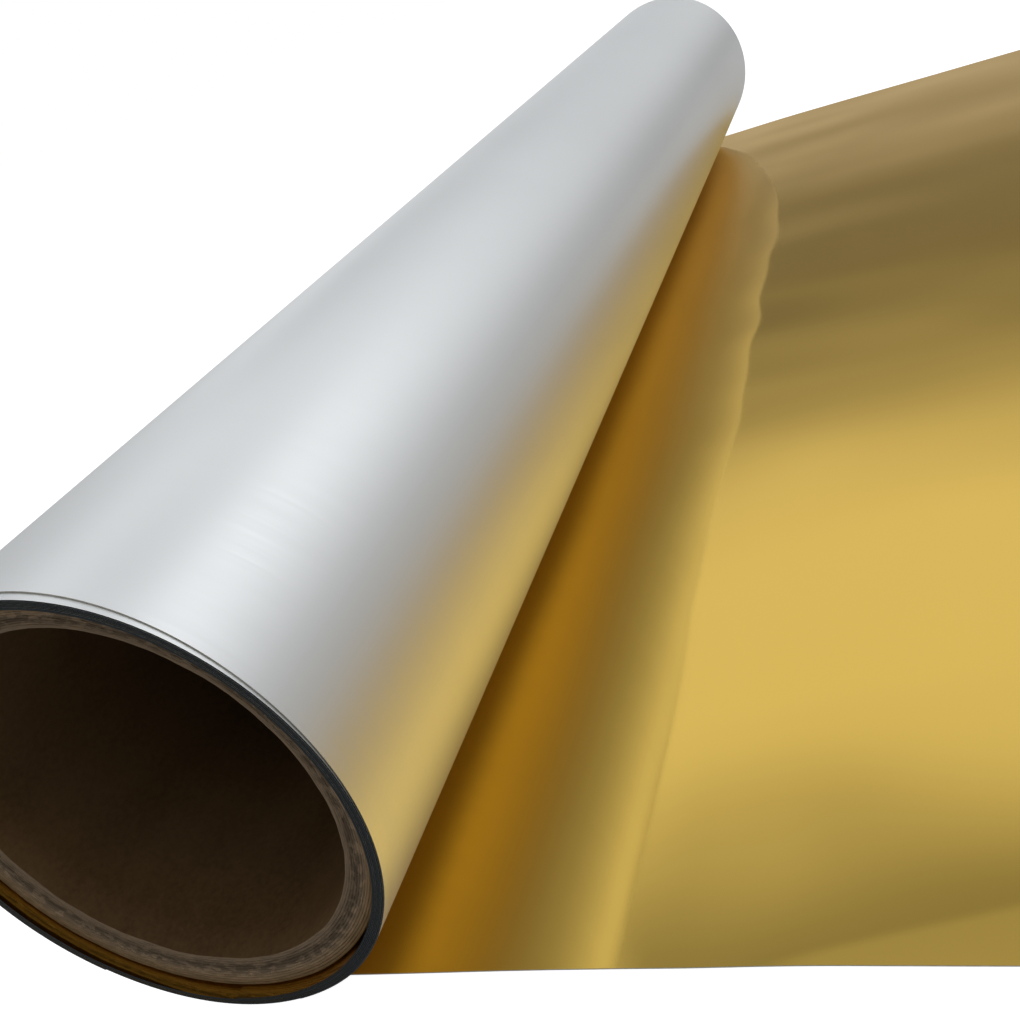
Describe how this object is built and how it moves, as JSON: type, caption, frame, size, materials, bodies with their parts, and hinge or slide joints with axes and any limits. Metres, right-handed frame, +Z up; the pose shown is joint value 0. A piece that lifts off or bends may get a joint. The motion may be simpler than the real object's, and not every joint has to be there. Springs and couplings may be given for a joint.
{
  "type": "roll of sign vinyl",
  "caption": "Mirror-gold sign vinyl on a silver liner, wound on a paperboard core, with its free end laid out flat so the roll can be rolled along it.",
  "frame": {"origin": "middle of the core's bore, on its axis", "axes": "+Y along the roll's axis, +X the way the web is laid out from under the roll, +Z up"},
  "size_m": [0.6463, 0.6552, 0.0927],
  "materials": {
    "core_board": "matte grey-brown kraft board",
    "tissue_tape": "matte tissue tape",
    "gold_film": "metallised mirror gold",
    "silver_liner": "satin silver"
  },
  "bodies": {
    "sheet": {"sheet_film": "gold_film", "sheet_liner": "silver_liner"},
    "outer_turn": {"outer_turn_film": "gold_film", "outer_turn_liner": "silver_liner"},
    "roll": {"core_inner_ply": "core_board", "core_body_ply_01": "core_board", "core_body_ply_02": "core_board", "core_body_ply_03": "core_board", "core_body_ply_04": "core_board", "core_body_ply_05": "core_board", "core_body_ply_06": "core_board", "core_body_ply_07": "core_board", "core_body_ply_08": "core_board", "core_body_ply_09": "core_board", "core_body_ply_10": "core_board", "core_outer_ply": "core_board", "start_tape": "tissue_tape", "wound_film": "gold_film", "wound_liner": "silver_liner"}
  },
  "joints": [
    {"name": "roll_travel", "type": "slide", "parent": "sheet", "child": "outer_turn", "axis": [1, 0, 0], "range_m": [-0.29, 0.29], "deforming": ["sheet_film", "sheet_liner"]},
    {"name": "roll_spin", "type": "hinge", "parent": "outer_turn", "child": "roll", "pos_m": [0, 0, 0], "axis": [0, 1, 0], "range_deg": [-360, 360]}
  ],
  "couplings": [
    {"joint": "roll_spin", "follows": "roll_travel", "rad_per_m": 21.563}
  ]
}
